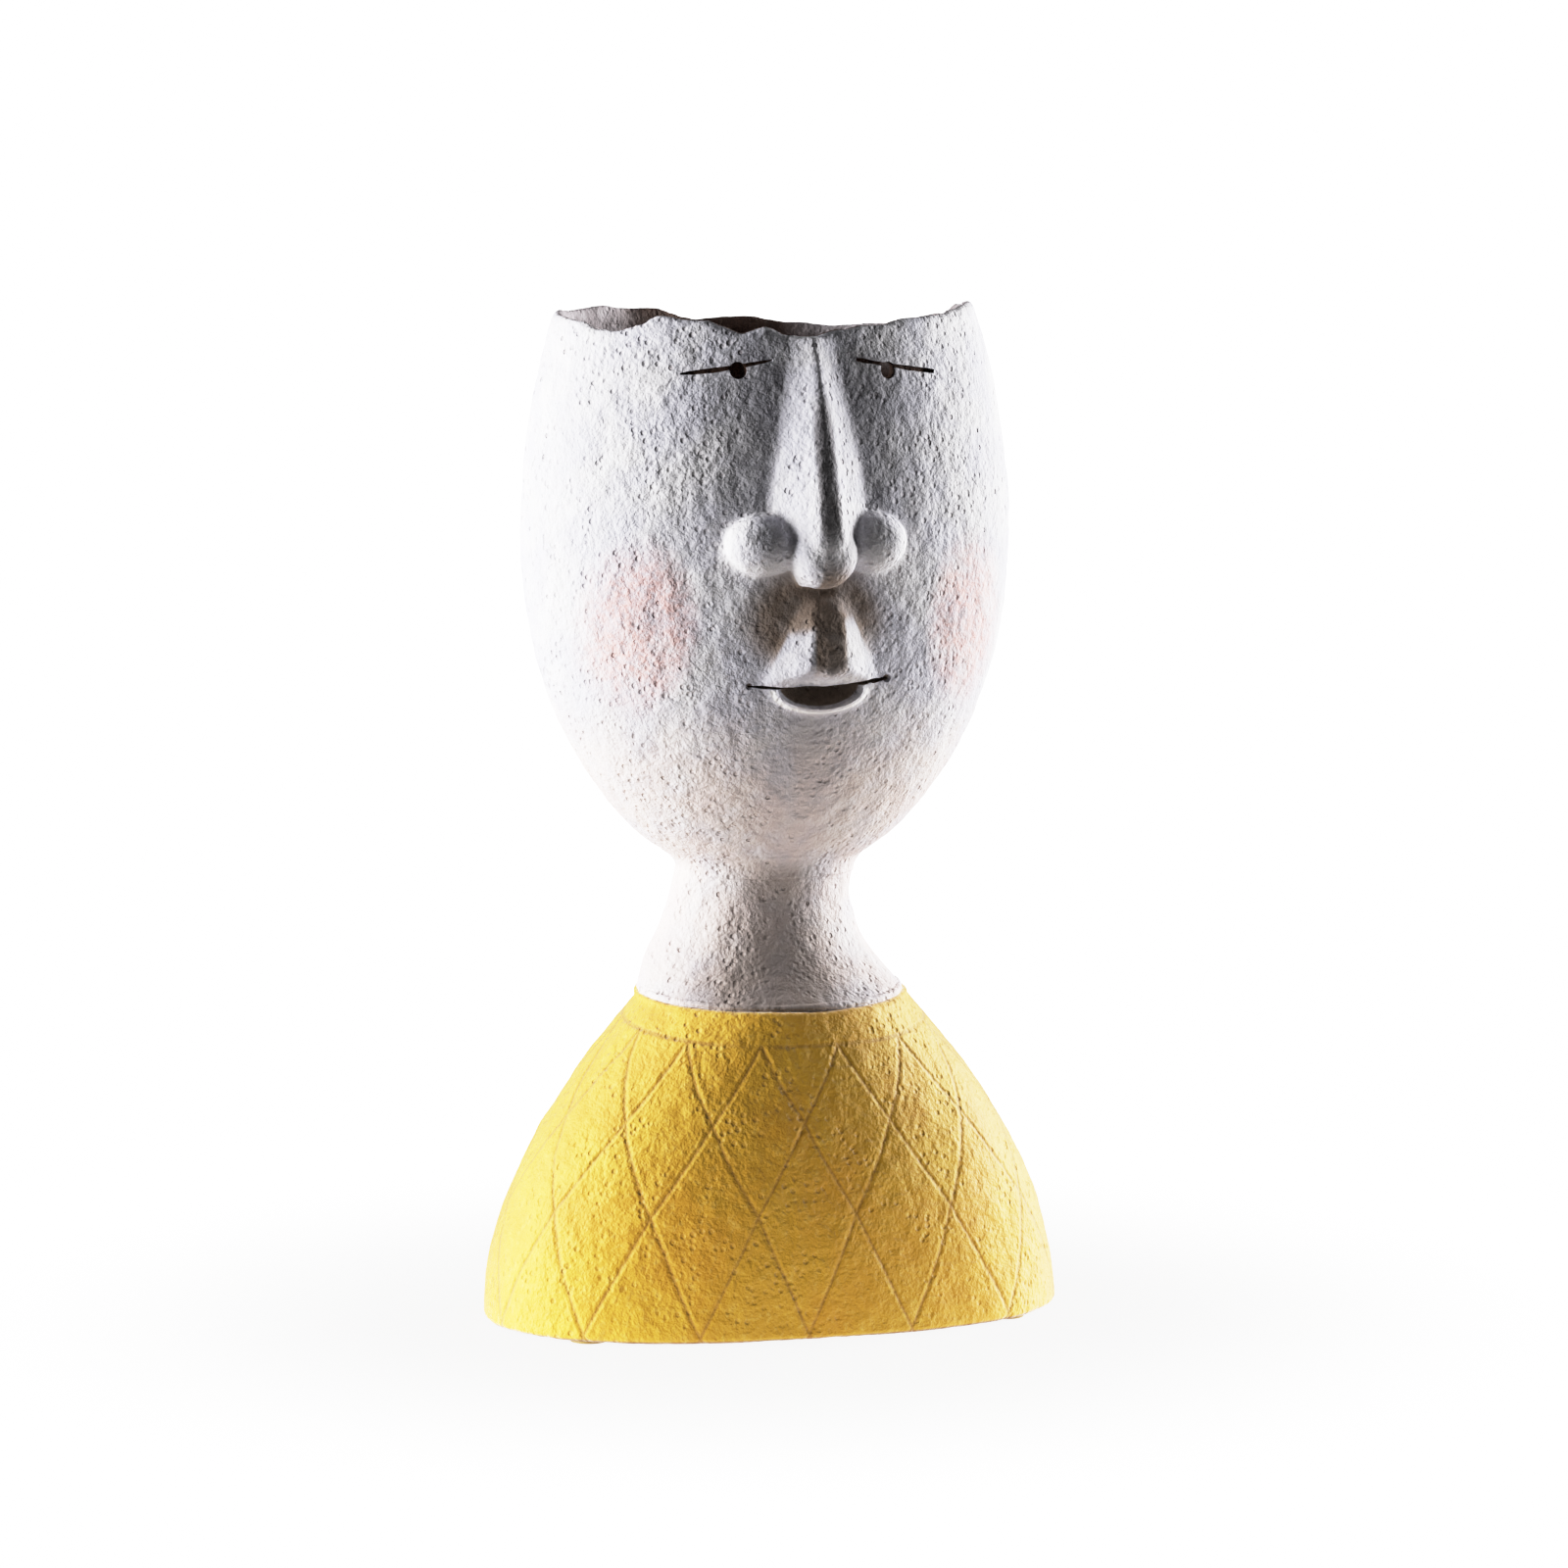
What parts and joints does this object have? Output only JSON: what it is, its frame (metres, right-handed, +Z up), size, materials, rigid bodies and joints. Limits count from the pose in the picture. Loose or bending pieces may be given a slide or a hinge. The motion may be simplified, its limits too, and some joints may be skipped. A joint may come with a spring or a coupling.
{
  "type": "head planter",
  "caption": "Free-standing clay planter shaped as a stylised head on a neck and low bust, open at the top with a torn rim and a drain hole with a lift-out stopper.",
  "frame": {"origin": "on the table under the middle of the base", "axes": "+Z up, the face looks along -Y, +X is to the right of someone who looks at the face"},
  "size_m": [0.1926, 0.1444, 0.3334],
  "materials": {
    "white_clay": "rough matt off-white coat on brown clay",
    "yellow_clay": "rough matt mustard coat",
    "stopper_rubber": "matt",
    "pad_rubber": "matt"
  },
  "bodies": {
    "planter": {"head_bowl": "white_clay", "neck": "white_clay", "bust": "yellow_clay", "chin_clay_coil": "white_clay", "collar_clay_coil": "white_clay", "rubber_foot_front_left": "pad_rubber", "rubber_foot_front_right": "pad_rubber", "rubber_foot_back_left": "pad_rubber", "rubber_foot_back_right": "pad_rubber"},
    "stopper": {"drain_plug": "stopper_rubber"}
  },
  "joints": [
    {"name": "plug_lift", "type": "slide", "parent": "planter", "child": "stopper", "axis": [0, 0, 1], "range_m": [0, 0.2]}
  ]
}
